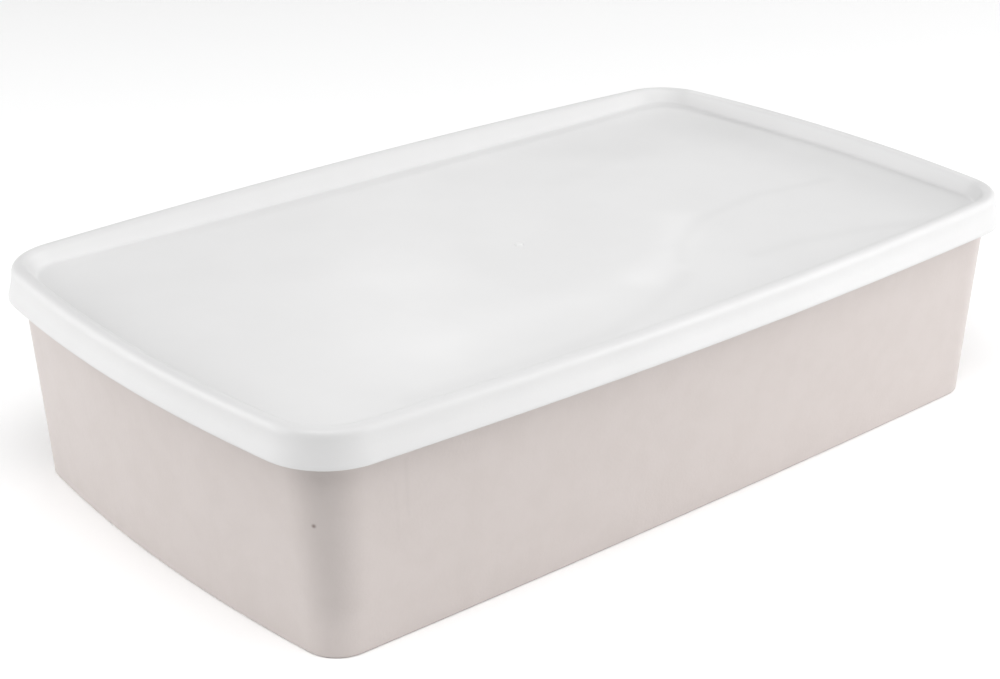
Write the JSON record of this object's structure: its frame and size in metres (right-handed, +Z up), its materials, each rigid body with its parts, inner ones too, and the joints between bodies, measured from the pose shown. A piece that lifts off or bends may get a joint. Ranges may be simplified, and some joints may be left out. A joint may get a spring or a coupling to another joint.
{
  "type": "freezer container with press-on lid",
  "caption": "Shallow rectangular plastic freezer container, shut, with a tapered tub, bowed sides and a press-on lid with a sunk panel.",
  "frame": {"origin": "middle of the flat base, at the bottom of the bounding box", "axes": "+X along the length, +Y along the width, +Z up out of the lid"},
  "size_m": [0.28, 0.1652, 0.066],
  "materials": {
    "tub_plastic": "satin, warm greige, fine grain",
    "lid_plastic": "satin, milky white"
  },
  "bodies": {
    "root": {"tub": "tub_plastic", "lid": "lid_plastic"}
  },
  "joints": []
}
